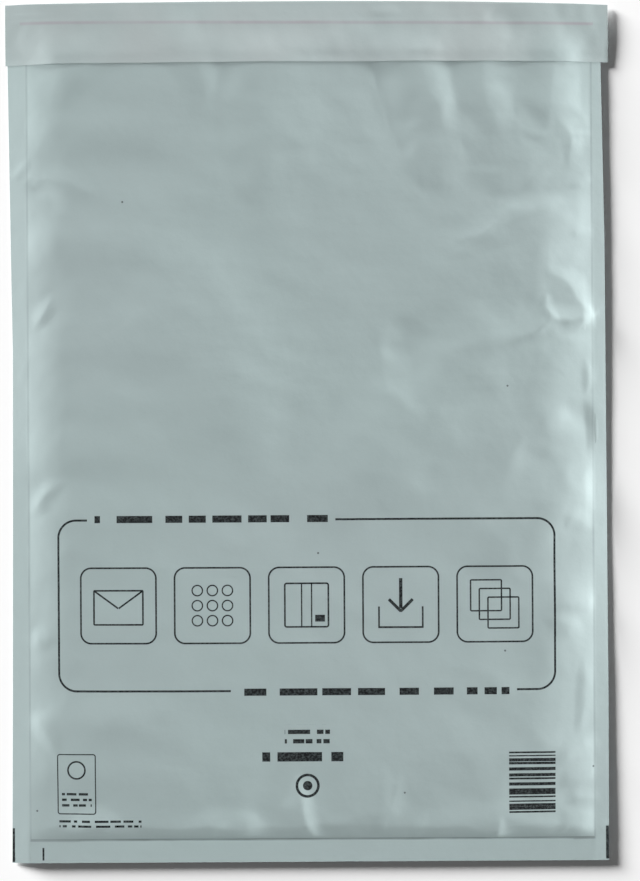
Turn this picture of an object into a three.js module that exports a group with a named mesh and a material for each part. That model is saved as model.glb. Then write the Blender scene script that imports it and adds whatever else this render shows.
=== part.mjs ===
// Padded envelope: two paper sheets glued together along both sides and the bottom, each lined with
// bubble film, with the rear sheet's flap folded over the mouth onto the front.
// Millimetres, +Z up, +Y towards the flap. The envelope lies on its rear sheet, and the origin is on
// the floor under the middle of its outline.

import * as THREE from 'three';

// Outline. The padding draws the side edges of the body in from the flat width of the sheets, which
// the flap keeps.
const overallLength = 459;
const sheetWidth = 322;
const drawnIn = 2;
const flapDepth = 33;
const foldBow = 1.6;
const foldReach = 5;
const mouthBelowFold = 8.3;

// Glued margins
const leftSeam = 9;
const rightSeam = 7.5;
const bottomSeam = 12;
const seamLift = 2.4;

// Layers
const paper = 0.3;
const padding = 4;
const pocketGap = 0.6;
const clearance = 0.3;

// How the padded body swells from its margins and narrows towards the mouth
const frontShoulder = 45;
const backShoulder = 16;
const frontFullness = 3.5;
const backFullness = 2.2;
const crown = 0.9;
const mouthThickness = 7.4;
const mouthTaper = 70;
const liningInset = 5;
const flapShoulder = 50;
const neckTaper = 28;

// Strips under the flap
const adhesiveThickness = 0.3;
const adhesiveBelowFold = 12.2;
const adhesiveWidth = 17;
const linerThickness = 0.3;
const linerBelowFold = 10.2;
const linerWidth = 20.5;
const stripInset = 3;

// Spacing of the grid lines that the sheets are built on
const frontStep = 10.5;
const frontShoulderStep = 6.5;
const liningStep = 40;
const liningShoulderStep = 9;
const backStep = 50;
const backShoulderStep = 5;
const flapStep = 20;
const foldSteps = 8;

// Folds pressed into the front sheet: each runs straight between two points, stands proud by
// its height (or lies below, where negative) and fades out over its half width.
const frontFolds = [
  { from: [56, 190], to: [84, 156], height: 1.1, half: 9 },
  { from: [40, 189], to: [52, 158], height: -1.0, half: 11 },
  { from: [103, 190], to: [112, 154], height: 1.0, half: 9 },
  { from: [121, 186], to: [118, 160], height: -1.0, half: 10 },
  { from: [96, 120], to: [132, 112], height: -0.8, half: 11 },
  { from: [82, 106], to: [128, 96], height: 0.7, half: 11 },
  { from: [149, 63], to: [118, 50], height: -1.1, half: 9 },
  { from: [146, 48], to: [120, 60], height: 0.8, half: 8 },
  { from: [52, 44], to: [78, 30], height: -0.7, half: 14 },
  { from: [-126, 190], to: [-122, 166], height: 0.9, half: 9 },
  { from: [-54, 190], to: [-53, 168], height: 0.6, half: 9 },
  { from: [-146, 136], to: [-132, 134], height: -0.9, half: 7 },
];
const deepestFold = -Math.min(...frontFolds.map((fold) => fold.height));
const foldFade = 10;

const bodyWidth = sheetWidth - 2 * drawnIn;
const bottomEdge = -overallLength / 2;
const foldLine = overallLength / 2;
const mouth = foldLine - mouthBelowFold;
const flapEdge = foldLine - flapDepth;
const leftLine = -bodyWidth / 2 + leftSeam;
const rightLine = bodyWidth / 2 - rightSeam;
const bottomLine = bottomEdge + bottomSeam;
const bodyThickness = 2 * (paper + clearance + padding) + pocketGap;
const seamTop = seamLift + paper + clearance;
const underFlap = 3 * clearance + adhesiveThickness + linerThickness;

// 0 at the start of a shoulder and 1 past its end. The fuller it is, the steeper it starts.
function swell(distance, shoulder, fullness) {
  const share = THREE.MathUtils.clamp(distance / shoulder, 0, 1);
  return 1 - (1 - share) ** fullness;
}

function bodySwell(x, y, shoulder, fullness) {
  const across = Math.min(x - leftLine, rightLine - x);
  return swell(across, shoulder, fullness) * swell(y - bottomLine, shoulder, fullness);
}

function frontSwell(x, y) {
  return bodySwell(x, y, frontShoulder, frontFullness);
}

// Outer thickness of the padded body: full over most of its length, less at the mouth.
function thickness(x, y) {
  const level = THREE.MathUtils.smoothstep(y, mouth - mouthTaper, mouth);
  const domed = (1 - (2 * x / bodyWidth) ** 2) * (1 - (2 * y / overallLength) ** 2);
  return THREE.MathUtils.lerp(bodyThickness, mouthThickness, level) + crown * Math.max(domed, 0);
}

// Height of all the folds at one point of the front sheet.
function foldHeight(x, y) {
  let height = 0;
  for (const { from, to, height: rise, half } of frontFolds) {
    const run = [to[0] - from[0], to[1] - from[1]];
    const length = Math.hypot(...run);
    const along = ((x - from[0]) * run[0] + (y - from[1]) * run[1]) / length;
    const aside = ((x - from[0]) * run[1] - (y - from[1]) * run[0]) / length;
    const past = Math.max(-along, along - length, 0);
    height += rise * Math.exp(-((aside / half) ** 2) - (past / foldFade) ** 2);
  }
  const level = 1 - THREE.MathUtils.smoothstep(y, flapEdge - foldFade, flapEdge);
  return height * level;
}

// Surfaces of the lying body, from the floor up
function backUnder(x, y) {
  return seamLift * (1 - bodySwell(x, y, backShoulder, backFullness));
}

function smoothFront(x, y) {
  return seamTop + (thickness(x, y) - paper - seamTop) * frontSwell(x, y);
}

function frontUnder(x, y) {
  return smoothFront(x, y) + foldHeight(x, y) * frontSwell(x, y);
}

// The lining keeps below the deepest fold of the front sheet.
function frontLiningTop(x, y) {
  return smoothFront(x, y) - deepestFold * frontSwell(x, y) - clearance;
}

function backLiningUnder(x, y) {
  return backUnder(x, y) + paper + clearance;
}

function pocketMiddle(x, y) {
  return (frontLiningTop(x, y) + backLiningUnder(x, y)) / 2;
}

// The flap sags less steeply than the body under it, from its own ends.
function flapUnder(x, y) {
  const ends = swell(sheetWidth / 2 - Math.abs(x), flapShoulder, frontFullness);
  return seamTop + paper + underFlap + (thickness(x, y) - paper - seamTop) * ends;
}

// Values from one to another in equal steps near the given size, without the first value.
function steps(from, to, size) {
  const count = Math.max(1, Math.round(Math.abs(to - from) / size));
  return Array.from({ length: count }, (_, i) => from + (to - from) * (i + 1) / count);
}

// Grid lines across a panel that swells from its margins: close together in its front shoulders.
function columnLines(left, right, shoulderStep, step) {
  const risen = left + frontShoulder;
  const falling = right - frontShoulder;
  return [
    left,
    ...steps(left, risen, shoulderStep),
    ...steps(risen, falling, step),
    ...steps(falling, right, shoulderStep),
  ];
}

// A closed sheet on a grid of column and row lines. The two sides of the sheet share the grid, and
// place gives the point at one column, one row and one side.
function gridSheet(columns, rows, place) {
  const geometry = new THREE.BoxGeometry(1, 1, 1, columns.length - 1, rows.length - 1, 1);
  const position = geometry.attributes.position;
  for (let i = 0; i < position.count; i += 1) {
    const column = columns[Math.round((position.getX(i) + 0.5) * (columns.length - 1))];
    const row = rows[Math.round((position.getY(i) + 0.5) * (rows.length - 1))];
    position.setXYZ(i, ...place(column, row, position.getZ(i) > 0));
  }
  geometry.computeVertexNormals();
  return geometry;
}

function frontPanel() {
  const half = bodyWidth / 2;
  const inner = columnLines(leftLine, rightLine, frontShoulderStep, frontStep);
  const columns = [-half, ...inner, half];
  const rows = [
    bottomEdge,
    bottomLine,
    ...steps(bottomLine, bottomLine + frontShoulder, frontShoulderStep),
    ...steps(bottomLine + frontShoulder, flapEdge, frontStep),
    ...steps(flapEdge, mouth, flapStep),
  ];
  return gridSheet(columns, rows, (x, y, upper) => [x, y, frontUnder(x, y) + (upper ? paper : 0)]);
}

// The rear sheet runs from the bottom edge to the fold, round it, and back as the flap. A row's turn
// is the angle that the sheet has bent through: 0 on the floor, pi on the flap.
function backPanel() {
  const bodyHalf = bodyWidth / 2;
  const flapHalf = sheetWidth / 2;
  const risen = leftLine + backShoulder;
  const falling = rightLine - backShoulder;
  const between = columnLines(leftLine, rightLine, liningShoulderStep, backStep);
  const columns = [
    -bodyHalf,
    leftLine,
    ...steps(leftLine, risen, backShoulderStep),
    ...between.filter((x) => x > risen && x < falling),
    falling,
    ...steps(falling, rightLine, backShoulderStep),
    bodyHalf,
  ];
  const bendStart = foldLine - foldReach - paper / 2;
  const rows = [
    { y: bottomEdge, turn: 0 },
    { y: bottomLine, turn: 0 },
    ...steps(bottomLine, bottomLine + backShoulder, backShoulderStep).map((y) => ({ y, turn: 0 })),
    ...steps(bottomLine + backShoulder, mouth - neckTaper, backStep).map((y) => ({ y, turn: 0 })),
    ...steps(mouth - neckTaper, bendStart, neckTaper / 4).map((y) => ({ y, turn: 0 })),
    ...steps(0, Math.PI, Math.PI / foldSteps).map((turn) => ({ y: bendStart, turn })),
    ...steps(bendStart, flapEdge, flapStep / 2).map((y) => ({ y, turn: Math.PI })),
  ];
  return gridSheet(columns, rows, (column, { y: rowY, turn }, upper) => {
    const neck = turn > 0 ? 1 : THREE.MathUtils.smoothstep(rowY, mouth - neckTaper, bendStart);
    const x = column * THREE.MathUtils.lerp(1, flapHalf / bodyHalf, neck);
    const nearFold = THREE.MathUtils.smoothstep(rowY, flapEdge, bendStart);
    const y = rowY - foldBow * nearFold * (x / flapHalf) ** 2;
    const low = backUnder(x, y) + paper / 2;
    const high = flapUnder(x, y) + paper / 2;
    const offset = upper ? -paper / 2 : paper / 2;
    const middle = low + (high - low) * (1 - Math.cos(turn)) / 2;
    return [x, y + (foldReach + offset) * Math.sin(turn), middle - offset * Math.cos(turn)];
  });
}

// The two linings fill the body from one sheet to the other, with the pocket between them.
function lining(under, over) {
  const left = leftLine + liningInset;
  const right = rightLine - liningInset;
  const columns = columnLines(left, right, liningShoulderStep, liningStep);
  const start = bottomLine + liningInset;
  const rows = [
    start,
    ...steps(start, start + frontShoulder, liningShoulderStep),
    ...steps(start + frontShoulder, mouth - mouthTaper, liningStep),
    ...steps(mouth - mouthTaper, mouth, liningStep / 2),
  ];
  return gridSheet(columns, rows, (x, y, upper) => [x, y, (upper ? over : under)(x, y)]);
}

function frontLining() {
  return lining((x, y) => pocketMiddle(x, y) + pocketGap / 2, frontLiningTop);
}

function backLining() {
  return lining(backLiningUnder, (x, y) => pocketMiddle(x, y) - pocketGap / 2);
}

// A flat strip that follows the flap's inner face: its distance below the fold, its width, how far
// its upper side lies under the flap, and its own thickness.
function flapStrip(belowFold, width, drop, strip) {
  const half = sheetWidth / 2 - stripInset;
  const inner = columnLines(leftLine, rightLine, liningShoulderStep, backStep);
  const columns = [-half, ...inner, half];
  const rows = [-belowFold, ...steps(-belowFold, -belowFold - width, flapStep / 2)].reverse();
  return gridSheet(columns, rows, (x, row, upper) => {
    const y = foldLine + row - foldBow * (x / half) ** 2 * (1 + row / flapDepth);
    return [x, y, flapUnder(x, y) - drop - (upper ? 0 : strip)];
  });
}

const paperMaterial = new THREE.MeshStandardMaterial({ color: 0xa4b2b2, roughness: 0.75, metalness: 0 });
const filmMaterial = new THREE.MeshStandardMaterial({ color: 0xdfe6e8, roughness: 0.25, metalness: 0 });
const adhesiveMaterial = new THREE.MeshStandardMaterial({ color: 0xe8e2cf, roughness: 0.3, metalness: 0 });
const linerMaterial = new THREE.MeshStandardMaterial({ color: 0xd9b9c8, roughness: 0.4, metalness: 0 });

function adhesiveStrip() {
  return flapStrip(adhesiveBelowFold, adhesiveWidth, clearance, adhesiveThickness);
}

function linerStrip() {
  return flapStrip(linerBelowFold, linerWidth, 2 * clearance + adhesiveThickness, linerThickness);
}

const envelope = new THREE.Group();
const pieces = [
  ['front_panel', frontPanel(), paperMaterial],
  ['back_panel', backPanel(), paperMaterial],
  ['front_bubble_lining', frontLining(), filmMaterial],
  ['back_bubble_lining', backLining(), filmMaterial],
  ['flap_adhesive', adhesiveStrip(), adhesiveMaterial],
  ['release_liner', linerStrip(), linerMaterial],
];
for (const [name, geometry, material] of pieces) {
  const mesh = new THREE.Mesh(geometry, material);
  mesh.name = name;
  envelope.add(mesh);
}

export default envelope;
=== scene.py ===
"""Padded envelope, lying flat with its flap folded over the mouth, seen from straight above.

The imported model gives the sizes. The paper sheets, the bubble linings and the strips under the flap
are built here as finer pieces that stand for its nodes. Lengths in the code are millimetres, in the
frame's own axes: x to the right, y towards the flap, z up.
"""

import math
from collections import namedtuple
from types import SimpleNamespace

import bpy
import numpy as np
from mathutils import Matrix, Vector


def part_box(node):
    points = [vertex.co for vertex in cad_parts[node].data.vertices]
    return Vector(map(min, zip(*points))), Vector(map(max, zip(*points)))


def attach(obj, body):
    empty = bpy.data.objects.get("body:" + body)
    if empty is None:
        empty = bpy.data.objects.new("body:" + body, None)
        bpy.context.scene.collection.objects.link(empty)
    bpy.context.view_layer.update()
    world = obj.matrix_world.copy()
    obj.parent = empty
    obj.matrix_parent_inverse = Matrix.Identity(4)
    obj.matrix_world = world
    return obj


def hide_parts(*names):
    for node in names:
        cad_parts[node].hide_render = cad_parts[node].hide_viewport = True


bl_info = {
    "name": "Padded envelope",
    "version": (1, 0, 0),
    "blender": (4, 5, 0),
    "location": "View3D > Sidebar > Envelope",
    "description": "Builds a padded paper envelope round its packed model",
    "category": "Object",
}

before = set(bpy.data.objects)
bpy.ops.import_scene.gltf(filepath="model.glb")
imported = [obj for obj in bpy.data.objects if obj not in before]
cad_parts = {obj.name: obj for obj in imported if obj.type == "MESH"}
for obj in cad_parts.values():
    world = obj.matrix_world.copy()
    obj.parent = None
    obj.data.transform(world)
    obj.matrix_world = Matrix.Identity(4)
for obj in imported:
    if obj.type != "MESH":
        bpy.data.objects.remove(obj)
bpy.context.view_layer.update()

MM = 0.001
BODY = "root"

# A crease or soft ridge pressed into a sheet. It follows a path of points, is as high as rise (a
# negative one is a valley), and falls off over one width on the left of its path and another on the
# right. Crispness 1 has a sharp crest. It fades in and out over a share of its length at each end.
Fold = namedtuple("Fold", "path rise left right crispness fade_in fade_out")

# A soft swelling, or a dent where its rise is negative.
Bump = namedtuple("Bump", "centre half_size turn rise")

FRONT_FOLDS = [
    # upper right: three lumps hang down from the flap, steep on their right sides
    Fold([(52, 214), (56, 200), (61, 188), (68, 174), (75, 155)], 1.8, 17, 24, 0.15, 0.02, 0.35),
    Fold([(93, 214), (93, 200), (94, 184), (98, 169), (105, 150)], 1.45, 16, 17, 0.15, 0.02, 0.5),
    Fold([(134, 212), (133, 195), (132, 177), (127, 160)], 1.2, 16, 21, 0.3, 0.25, 0.3),
    # upper right: the fold across their lower ends
    Fold([(39, 159), (66, 157), (87, 154), (114, 156), (146, 150)], 0.65, 15, 16, 0.1, 0.3, 0.15),
    Fold([(131, 167), (142, 155), (140, 140)], 0.6, 9, 7, 0.5, 0.35, 0.4),
    Fold([(139, 155), (152, 159)], 0.35, 3, 4, 0.8, 0.5, 0.1),
    # upper right: the long crease to the left of them, and the facets beneath
    Fold([(31, 212), (34, 195), (38, 178), (47, 156), (57, 129)], -1.5, 20, 36, 0.6, 0.3, 0.5),
    Fold([(46, 137), (67, 144), (89, 136)], 0.9, 18, 17, 0.1, 0.4, 0.4),
    Fold([(83, 129), (103, 138), (133, 143)], 1.0, 20, 18, 0.05, 0.45, 0.35),
    Fold([(130, 144), (115, 132), (98, 111)], -0.45, 8, 9, 0.7, 0.4, 0.4),
    Fold([(71, 90), (98, 105), (115, 114), (138, 122)], 0.85, 15, 11, 0.4, 0.5, 0.3),
    # right side: creases that spread from the pinch in the seam
    Fold([(103, 45), (126, 55), (133, 60), (143, 59), (153, 61)], 1.7, 10, 9, 0.7, 0.6, 0.02),
    Fold([(127, 90), (141, 74), (153, 60)], 1.2, 10, 16, 0.6, 0.5, 0.02),
    Fold([(92, 68), (118, 75), (141, 75)], 0.9, 30, 17, 0.15, 0.45, 0.4),
    Fold([(74, 42), (100, 50), (124, 54)], 0.7, 22, 12, 0.2, 0.5, 0.4),
    Fold([(147, 40), (151, 29), (147, 18)], 0.45, 5, 5, 0.6, 0.4, 0.4),
    # upper right: short creases
    Fold([(35, 183), (41, 171), (43, 159)], 0.25, 6, 5, 0.8, 0.4, 0.4),
    Fold([(114, 162), (125, 158), (131, 159)], 0.2, 5, 6, 0.8, 0.4, 0.3),
    Fold([(103, 120), (114, 116), (129, 120), (137, 124)], 0.35, 8, 6, 0.7, 0.4, 0.3),
    Fold([(102, 111), (90, 103), (77, 100)], 0.4, 6, 5, 0.7, 0.3, 0.5),
    Fold([(126, 72), (129, 63), (135, 58)], 0.5, 5, 6, 0.7, 0.3, 0.3),
    Fold([(139, 130), (152, 134)], 0.4, 5, 4, 0.8, 0.4, 0.1),
    Fold([(140, 104), (153, 107)], 0.3, 5, 4, 0.7, 0.4, 0.1),
    # right side: broad soft folds that rise to the right
    Fold([(41, 62), (55, 39), (62, 4)], -1.6, 22, 17, 0.1, 0.4, 0.45),
    Fold([(44, 58), (97, 90), (156, 120)], 1.7, 28, 34, 0, 0.35, 0.3),
    Fold([(-5, -58), (65, 14), (135, 75)], 2.3, 40, 34, 0, 0.35, 0.35),
    Fold([(156, 13), (132, -9), (102, -40)], -2.0, 21, 18, 0.1, 0.2, 0.45),
    Fold([(156, -16), (123, -46), (70, -77)], 1.6, 26, 34, 0, 0.2, 0.4),
    # left side: pinch in the seam and what spreads from it
    Fold([(-158, 136), (-153, 140), (-148, 147)], 1.0, 4, 5, 0.6, 0.2, 0.4),
    Fold([(-150, 135), (-139, 127), (-123, 117)], -0.5, 8, 8, 0.4, 0.1, 0.6),
    Fold([(-154, 140), (-140, 135), (-126, 131), (-105, 125)], 0.6, 12, 9, 0.6, 0.15, 0.7),
    Fold([(-108, 215), (-114, 201), (-124, 188), (-134, 172)], 1.0, 12, 22, 0.3, 0.05, 0.45),
    # left side: long soft folds down from the flap
    Fold([(-58, 215), (-57, 199), (-55, 166)], 1.0, 11, 18, 0.2, 0.05, 0.6),
    Fold([(-20, 217), (-24, 156), (-21, 105)], 1.9, 36, 26, 0, 0.1, 0.5),
    Fold([(-105, 108), (-52, 55), (-26, -31)], 1.8, 44, 48, 0, 0.35, 0.35),
    # left side: dents along the seam
    Fold([(-148, 54), (-141, 65), (-135, 74)], 0.7, 9, 8, 0.4, 0.45, 0.4),
    Fold([(-154, 22), (-150, 41)], 0.3, 3, 3, 0.7, 0.4, 0.4),
    Fold([(-149, -47), (-140, -32), (-126, -25)], 0.85, 9, 8, 0.5, 0.35, 0.5),
    Fold([(-150, -111), (-132, -111)], 0.6, 10, 7, 0.4, 0.35, 0.5),
    Fold([(-152, -147), (-142, -157), (-133, -177)], 0.75, 9, 7, 0.4, 0.35, 0.5),
    # lower right: wrinkles beside the seam
    Fold([(123, -95), (139, -92), (155, -93)], 0.5, 8, 6, 0.6, 0.5, 0.2),
    Fold([(123, -97), (136, -103), (147, -106)], 0.55, 9, 10, 0.2, 0.4, 0.4),
    Fold([(135, -45), (152, -53)], 0.5, 8, 8, 0.3, 0.4, 0.3),
    Fold([(126, -179), (143, -170), (155, -168)], 0.65, 9, 7, 0.5, 0.45, 0.1),
    Fold([(131, -192), (145, -183), (155, -180)], 0.5, 7, 7, 0.5, 0.45, 0.2),
    Fold([(133, -201), (143, -196), (155, -195)], 0.6, 7, 6, 0.6, 0.45, 0.1),
    Fold([(127, -216), (142, -205), (154, -204)], 0.6, 8, 7, 0.5, 0.45, 0.2),
    Fold([(142, -165), (149, -144), (147, -121)], 0.5, 7, 9, 0.2, 0.4, 0.4),
    # bottom: lumps over the seam, seen as a scalloped edge
    Fold([(-134, -214), (-113, -210), (-91, -214)], 0.9, 12, 9, 0.1, 0.4, 0.4),
    Fold([(-72, -215), (-45, -209), (-16, -215)], 0.9, 14, 10, 0.1, 0.4, 0.4),
    Fold([(133, -216), (149, -212), (165, -216)], 0.6, 10, 8, 0.1, 0.4, 0.4),
    Fold([(-102, -216), (-95, -211), (-91, -207)], 0.5, 5, 6, 0.7, 0.1, 0.5),
    Fold([(-52, -217), (-47, -210), (-44, -206)], 0.5, 5, 6, 0.7, 0.1, 0.5),
    Fold([(55, -217), (58, -211), (63, -204)], 0.6, 6, 7, 0.7, 0.1, 0.5),
    Fold([(99, -217), (101, -212), (104, -207)], 0.5, 6, 6, 0.6, 0.1, 0.5),
    # bottom: folds that rise from the seam
    Fold([(-11, -177), (-5, -200), (2, -219)], 1.4, 8, 12, 0.5, 0.55, 0.05),
    Fold([(13, -212), (33, -199), (53, -205)], 1.2, 26, 15, 0.15, 0.4, 0.4),
    Fold([(52, -216), (75, -208), (93, -212), (107, -207), (139, -217)], 1.0, 16, 11, 0.2, 0.35, 0.35),
    Fold([(0, -219), (16, -212), (32, -218)], 0.5, 12, 9, 0.3, 0.4, 0.4),
    Fold([(-121, -220), (-114, -210), (-106, -217)], 0.4, 8, 7, 0.5, 0.4, 0.4),
    Fold([(-75, -219), (-43, -211), (-11, -219)], 0.5, 14, 11, 0.2, 0.4, 0.4),
]

FRONT_BUMPS = [
    Bump((-84, 140), (69, 80), 0, -0.5),
    Bump((-32, -111), (101, 64), 0, 0.5),
    Bump((69, -154), (80, 53), 15, 0.6),
    Bump((-102, -175), (64, 48), 0, 0.5),
]

FLAP_FOLDS = [
    # soft patches where the flap lies over the body's lumps
    Fold([(52, 202), (62, 204), (74, 201)], 0.4, 8, 5, 0.3, 0.3, 0.3),
    Fold([(30, 224), (38, 213), (42, 201)], -0.45, 10, 9, 0.1, 0.3, 0.4),
    Fold([(98, 228), (108, 216), (112, 205)], -0.5, 10, 9, 0.2, 0.2, 0.4),
    Fold([(34, 222), (44, 224), (52, 222)], 0.25, 5, 4, 0.3, 0.4, 0.4),
    Fold([(-70, 226), (-64, 212), (-62, 200)], 0.35, 12, 16, 0.1, 0.3, 0.3),
    Fold([(-20, 205), (6, 206), (30, 203)], 0.25, 10, 6, 0.1, 0.4, 0.4),
    # the stiff edge of the liner, pressed through the paper
    Fold([(-160, 219.5), (159, 217.5)], 0.12, 2, 1.2, 0.6, 0.02, 0.02),
    # a faint crease beside the fold at the left end
    Fold([(-162, 222.2), (-128, 223.3)], 0.18, 1.2, 1.2, 0.8, 0.05, 0.6),
]

BACK_FOLDS = [
    Fold([(-150, 60), (-110, 40), (-80, 46)], 0.5, 8, 10, 0.5, 0.05, 0.6),
    Fold([(150, -40), (118, -60), (90, -58)], 0.5, 9, 8, 0.5, 0.05, 0.6),
    Fold([(20, -216), (8, -180)], 0.4, 7, 9, 0.5, 0.05, 0.6),
    Fold([(-90, -216), (-98, -190)], 0.4, 6, 8, 0.5, 0.05, 0.6),
    Fold([(60, 205), (40, 150), (48, 110)], 0.4, 10, 12, 0.4, 0.2, 0.5),
    Fold([(-30, 205), (-52, 160)], 0.4, 9, 9, 0.4, 0.2, 0.5),
]

# Random waves: how high and how long they are, and the seed of their dice.
Waves = namedtuple("Waves", "height length seed")

FRONT_WAVES = [Waves(1, 38, 11), Waves(0.45, 17, 12), Waves(0.14, 7, 13)]
BACK_WAVES = [Waves(1, 30, 21), Waves(0.5, 12, 22)]
FLAP_WAVES = [Waves(1, 24, 31), Waves(0.5, 10, 32)]

# How far the folds stray from their paths, across and along the envelope.
STRAY_ACROSS = [Waves(1.7, 26, 14), Waves(0.4, 11, 15)]
STRAY_ALONG = [Waves(1.7, 26, 16), Waves(0.4, 11, 17)]

# How much wider or narrower each shoulder is from place to place, as a share of its width.
LEFT_WAVER = [Waves(0.22, 34, 18)]
RIGHT_WAVER = [Waves(0.22, 34, 19)]
BOTTOM_WAVER = [Waves(0.35, 24, 20)]

# Places along the envelope at which its outline was measured, as (y, x).
LEFT_EDGE = [(-229.5, -159.6), (-143, -158.9), (-26, -158.2), (44, -157.9), (76, -158.4), (194, -159.9)]
RIGHT_EDGE = [(-229.5, 159.2), (-143, 159.5), (-58, 159.3), (44, 158.9), (102, 158.7), (197, 157.1)]
LEFT_SEAM = [(-217, -150.0), (-26, -148.9), (-4, -150.2), (190, -149.2)]
RIGHT_SEAM = [(-217, 151.7), (-26, 152.3), (70, 152.3), (134, 151.6), (193, 150.4)]

# How much of the body's height is gained in its steep first rise from each side seam, as (y, share).
LEFT_STEEP = [(-229, 0.15), (-150, 0.28), (-60, 0.5), (60, 0.55), (197, 0.45)]
RIGHT_STEEP = [(-229, 0.58), (-150, 0.66), (-20, 0.78), (60, 0.72), (124, 0.52), (197, 0.42)]

# How far the outer edges of the side margins hang down from their seams, as (y, drop).
LEFT_DROOP = [(-229, 2.1), (-100, 2.3), (0, 2.5), (60, 2.7), (197, 3.2)]
RIGHT_DROOP = [(-229, 0.5), (-150, 1.3), (-60, 2.1), (0, 1.9), (60, 1.4), (197, 1.2)]

# The body rises from a seam in a steep swell and a gentle, longer one. Along the bottom the share of
# the steep one is the same everywhere, and the gentle one is longer than at the sides.
STEEP_FULLNESS = 1.75
GENTLE_FULLNESS = 2
BOTTOM_STEEP = 0.68
BOTTOM_LONGER = 7

# Widths of the left, right and bottom shoulders inside the envelope and beneath it.
REAR_SHOULDERS = (8, 8, 8)

# How much higher the middle of the body is than its sides, how far the front sheet dips under the
# flap, how far the rear sheet lifts towards the fold, and how far the flap lifts behind its free edge.
CROWN = 0.9
UNDER_FLAP_DIP = 0.9
MOUTH_LIFT = 1.6
FLAP_LIFT = 0.3

# Width of the flap, and the radius of its fold.
FLAP_DEPTH = 33
FOLD_RADIUS = 1.3

# Steps to both sides over which the flap is smoothed, and those over which it bridges the lumps
# beneath it. A lump counts for less with each millimetre that it lies aside.
FLAP_SMOOTHING = (-9, -6, -3, 0, 3, 6, 9)
FLAP_BRIDGING = (-20, -15, -10, -6, -3, 0, 3, 6, 10, 15, 20)
BRIDGE_SLOPE = 0.09
BRIDGE_SHARPNESS = 4

# The front sheet's underside has fewer lines than its upper side. It lies a little deeper, and deeper
# still under the body, so that it doesn't come through.
UNDERSIDE_GAP = 0.03
UNDERSIDE_SAG = 0.32

# Clear space below the front sheet, above the rear sheet and between the two linings.
BELOW_FRONT = 0.8
ABOVE_BACK = 0.1
BETWEEN_LININGS = 0.5

# Edges that bend by more degrees than this are shaded as sharp ones.
SHARP_ANGLE = 35

# One plain shape, used for the print and for the painted shade along the seams: a box with rounded
# corners, turned by some degrees. Its outline is as thick as line, and a line of SOLID fills it.
Mark = namedtuple("Mark", "centre half_size corner line turn", defaults=(0, 0, 0))
SOLID = 99

FRAME_MARK = Mark((-1.5, -92), (132.5, 46), 10, 1.1)
FRAME_GAPS = [Mark((-52, -46), (66, 4), 0, SOLID), Mark((34, -138), (76, 4), 0, SOLID)]
CELL_PITCH = 50
CELL_MARK = Mark((0, -92), (20.5, 20.5), 6, 0.9)
BUBBLE_PITCH = 8
BUBBLE_MARK = Mark((0, -92), (3.1, 3.1), 3.1, 0.7)

PLAIN_MARKS = [
    # an envelope
    Mark((-101.5, -93), (13.5, 9.5), 1, 0.9),
    Mark((-108.2, -88.6), (8.1, 0.45), 0, SOLID, -36),
    Mark((-94.8, -88.6), (8.1, 0.45), 0, SOLID, 36),
    # a parcel with its tape and label
    Mark((-1.5, -92), (12, 12), 1.5, 0.9),
    Mark((-1.5, -92), (3, 12), 0, 0.7),
    Mark((5.6, -99), (2.6, 1.8), 0, SOLID),
    # an arrow into a tray
    Mark((48.5, -86), (0.9, 8), 0, SOLID),
    Mark((45.4, -92.4), (4.6, 0.8), 0.4, SOLID, -45),
    Mark((51.6, -92.4), (4.6, 0.8), 0.4, SOLID, 45),
    Mark((48.5, -104), (12, 0.5), 0, SOLID),
    Mark((36.9, -98.6), (0.45, 5.6), 0, SOLID),
    Mark((60.1, -98.6), (0.45, 5.6), 0, SOLID),
    # sheets laid over each other
    Mark((93.8, -87.4), (8.6, 8.6), 1, 0.8),
    Mark((98.4, -92), (8.6, 8.6), 1, 0.8),
    Mark((103, -96.6), (8.6, 8.6), 1, 0.8),
    # blocks at the foot
    Mark((-124.5, -187), (10.4, 16.2), 1.5, 0.6),
    Mark((-124.5, -179.5), (5, 5), 5, 0.9),
    Mark((-1.5, -188), (6.4, 6.4), 6.4, 1.4),
    Mark((-1.5, -188), (2.5, 2.5), 2.5, SOLID),
    # marks of the printing press on the margins
    Mark((-159, -220), (0.9, 9), 0, SOLID),
    Mark((158.4, -220), (0.8, 8.8), 0, SOLID),
    Mark((-142.8, -224.7), (0.5, 3.4), 0.2, SOLID),
]

# Rows of plain bars where words would stand: the box that they fill, the height of a row and of its
# bars, and how many bars stand in a centimetre.
WordRows = namedtuple("WordRows", "centre half_size row bar words")

WORD_ROWS = [
    WordRows((-52, -46), (62, 2), 5, 3.8, 0.8),
    WordRows((34, -138), (72, 2), 5, 3.8, 1.1),
    WordRows((-124.5, -194.5), (8, 4.5), 3, 1.3, 3.2),
    WordRows((-112, -207.5), (22, 2.6), 2.6, 1.2, 3.0),
    WordRows((-1.5, -160.5), (12, 5), 5, 2.3, 2.2),
    WordRows((-1.5, -172.5), (24, 2.6), 6, 5.0, 0.9),
]

# The noise that cuts rows into words: the steps between two rows and two blocks, and the level above
# which there is ink.
WORD_ROW_STEP = 17.3
WORD_BLOCK_STEP = 7.7
WORD_LEVEL = 0.44

HATCH_MARK = Mark((118, -187), (12.4, 16.4), 0, SOLID)
HATCH_SCALE = 0.62
HATCH_LEVEL = 0.48

# Painted shade along the inner edges of the glued margins: a dark line where shade falls in the crease at
# the foot of the body, strongest along the bottom.
SEAM_SHADE_MARK = Mark((1.1, 6), (151.2, 224), 0, 1.1)
BOTTOM_SEAM_SHADE_MARK = Mark((1.1, -217.3), (150.6, 0.7), 0.3, SOLID)

# The liner's edge that shows through the flap: its distance from the fold, its slant and half of its
# length.
LINER_FROM_FOLD = 11.7
LINER_SLANT = -0.0062
LINER_HALF_LENGTH = 153


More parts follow.
